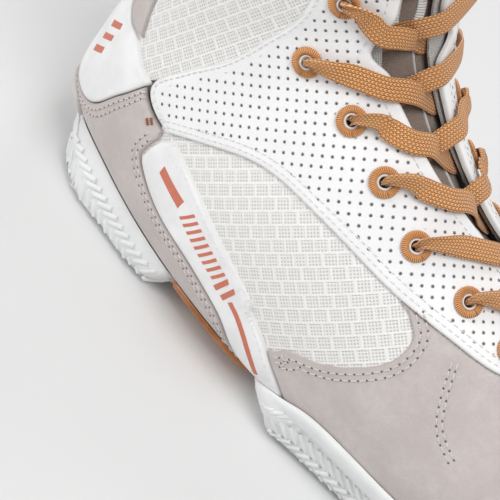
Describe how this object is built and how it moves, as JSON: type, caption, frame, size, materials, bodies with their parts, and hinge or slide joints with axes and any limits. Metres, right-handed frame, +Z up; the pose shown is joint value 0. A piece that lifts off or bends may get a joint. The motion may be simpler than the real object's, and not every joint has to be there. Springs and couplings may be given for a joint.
{
  "type": "boxing boot",
  "caption": "Lace-up boxing boot for the right foot: split rubber sole, bronze arch plate, suede and mesh upper, perforated facings and a flat orange lace.",
  "frame": {"origin": "on the ground under the middle of the heel", "axes": "+X points to the toe, +Y to the inner (medial) side of the right foot, +Z up"},
  "size_m": [0.2828, 0.1076, 0.1941],
  "materials": {
    "white_leather": "smooth and perforated white synthetic leather, semi matt",
    "grey_suede": "warm pale grey suede with short nap and double stitching",
    "white_mesh": "white sandwich mesh with rows of small holes",
    "collar_fabric": "white padded woven binding",
    "white_rubber": "matt white moulded rubber with a raised rim and chevron grooves",
    "foam": "white closed cell foam",
    "arch_plastic": "bronze orange moulded plate, satin gloss",
    "fibre_board": "brown fibre board",
    "sock_fabric": "grey knitted sock cloth",
    "lining_fabric": "pale grey knitted lining",
    "stiffener": "impregnated stiffener sheet",
    "heel_plastic": "satin moulded clip, warm pale grey",
    "tongue_fabric": "taupe woven cloth",
    "keeper_fabric": "white webbing loop",
    "orange_thread": "caramel orange satin stitched ring",
    "orange_lace": "caramel orange flat braided lace",
    "tab_webbing": "white woven webbing"
  },
  "bodies": {
    "boot": {"eyestay_lateral": "white_leather", "eyestay_medial": "white_leather", "support_strap_lateral": "white_leather", "support_strap_medial": "white_leather", "backstay": "white_leather", "vamp": "grey_suede", "heel_overlay": "grey_suede", "ankle_patch_lateral": "grey_suede", "ankle_patch_medial": "grey_suede", "quarter_mesh_lateral": "white_mesh", "quarter_mesh_medial": "white_mesh", "collar_mesh_lateral": "white_mesh", "collar_mesh_medial": "white_mesh", "collar_binding": "collar_fabric", "outsole_heel": "white_rubber", "outsole_forefoot": "white_rubber", "midsole_heel": "foam", "midsole_forefoot": "foam", "arch_shank": "arch_plastic", "insole_board": "fibre_board", "sockliner": "sock_fabric", "lining_leg": "lining_fabric", "lining_quarter": "lining_fabric", "lining_vamp": "lining_fabric", "heel_counter": "stiffener", "heel_bumper": "heel_plastic", "tongue": "tongue_fabric", "lace_keeper": "keeper_fabric", "eyelet_lateral_1": "orange_thread", "eyelet_lateral_2": "orange_thread", "eyelet_lateral_3": "orange_thread", "eyelet_lateral_4": "orange_thread", "eyelet_lateral_5": "orange_thread", "eyelet_lateral_6": "orange_thread", "eyelet_lateral_7": "orange_thread", "eyelet_lateral_8": "orange_thread", "eyelet_medial_1": "orange_thread", "eyelet_medial_2": "orange_thread", "eyelet_medial_3": "orange_thread", "eyelet_medial_4": "orange_thread", "eyelet_medial_5": "orange_thread", "eyelet_medial_6": "orange_thread", "eyelet_medial_7": "orange_thread", "eyelet_medial_8": "orange_thread", "lace": "orange_lace", "pull_tab_base": "tab_webbing"},
    "toe": {"outsole_toe": "white_rubber", "toe_puff": "stiffener", "toe_cap": "grey_suede"},
    "tongue_flap": {"tongue_top": "tongue_fabric"},
    "heel_tab": {"pull_tab": "tab_webbing"}
  },
  "joints": [
    {"name": "toe_flex", "type": "hinge", "parent": "boot", "child": "toe", "pos_m": [0.16, 0, 0.005], "axis": [0, -1, 0], "range_deg": [0, 28], "stiffness_Nm_per_rad": 1, "deforming": ["vamp", "lining_vamp", "midsole_forefoot", "insole_board", "sockliner", "outsole_forefoot"]},
    {"name": "tongue_flap", "type": "hinge", "parent": "boot", "child": "tongue_flap", "pos_m": [0.04295, 0, 0.17913], "axis": [0, 1, 0], "range_deg": [0, 50], "stiffness_Nm_per_rad": 0.02},
    {"name": "tab_fold", "type": "hinge", "parent": "boot", "child": "heel_tab", "pos_m": [-0.04377, 0, 0.13711], "axis": [0, -1, 0], "range_deg": [0, 110], "stiffness_Nm_per_rad": 0.005}
  ]
}
